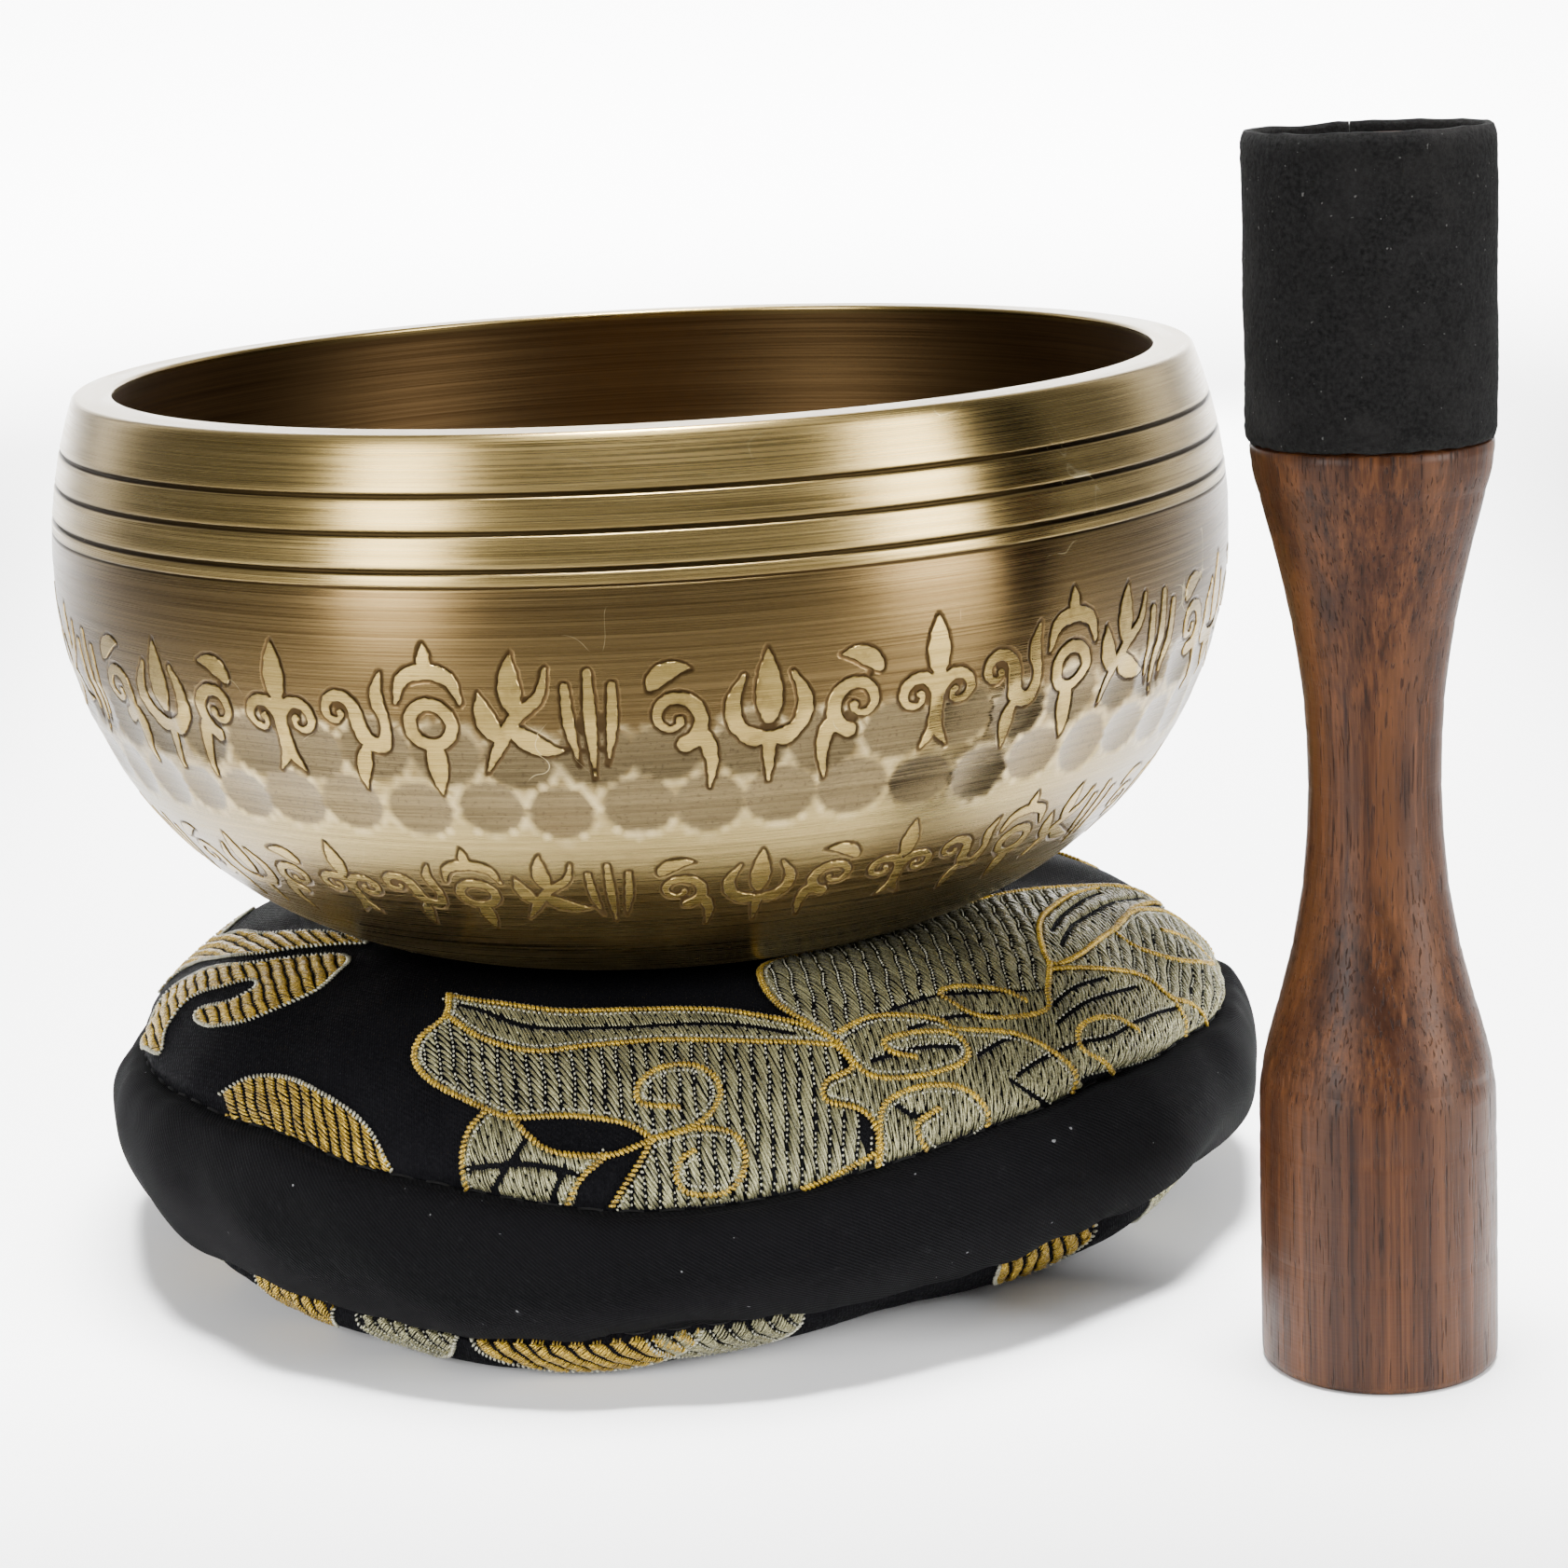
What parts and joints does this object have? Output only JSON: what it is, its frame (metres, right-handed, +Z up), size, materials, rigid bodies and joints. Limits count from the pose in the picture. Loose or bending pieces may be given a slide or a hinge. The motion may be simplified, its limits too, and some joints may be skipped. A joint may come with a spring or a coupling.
{
  "type": "singing bowl",
  "caption": "Round-bellied metal singing bowl resting on a stuffed brocade cushion, with a waisted wooden mallet whose head is wrapped in suede.",
  "frame": {"origin": "centre of the cushion's flat underside, on the table, on the common axis of cushion and bowl", "axes": "+Z up along the axis of the cushion and the bowl, +X to the right and +Y away from the viewer; the mallet stands to the front right"},
  "size_m": [0.1368, 0.1263, 0.112],
  "materials": {
    "bowl_bronze": "turned and brushed, aged brown between raised bright ornament",
    "brocade": "black satin ground with silver and gold floats",
    "band_twill": "matt fine twill",
    "filling": "loose polyester fibre",
    "thread": "spun thread",
    "turned_wood": "oiled, satin",
    "suede": "napped suede"
  },
  "bodies": {
    "cushion": {"cushion_top_panel": "brocade", "cushion_bottom_panel": "brocade", "cushion_side_band": "band_twill", "cushion_filling": "filling", "top_seam_thread": "thread", "bottom_seam_thread": "thread", "closing_stitches": "thread", "band_join_stitches": "thread"},
    "bowl": {"bowl": "bowl_bronze"},
    "mallet": {"mallet_handle": "turned_wood", "mallet_suede_wrap": "suede"}
  },
  "joints": [
    {"name": "bowl_lift", "type": "slide", "parent": "cushion", "child": "bowl", "axis": [0, 0, 1], "range_m": [0, 0.1]},
    {"name": "mallet_lift", "type": "slide", "parent": "cushion", "child": "mallet", "axis": [0, 0, 1], "range_m": [0, 0.15]}
  ]
}
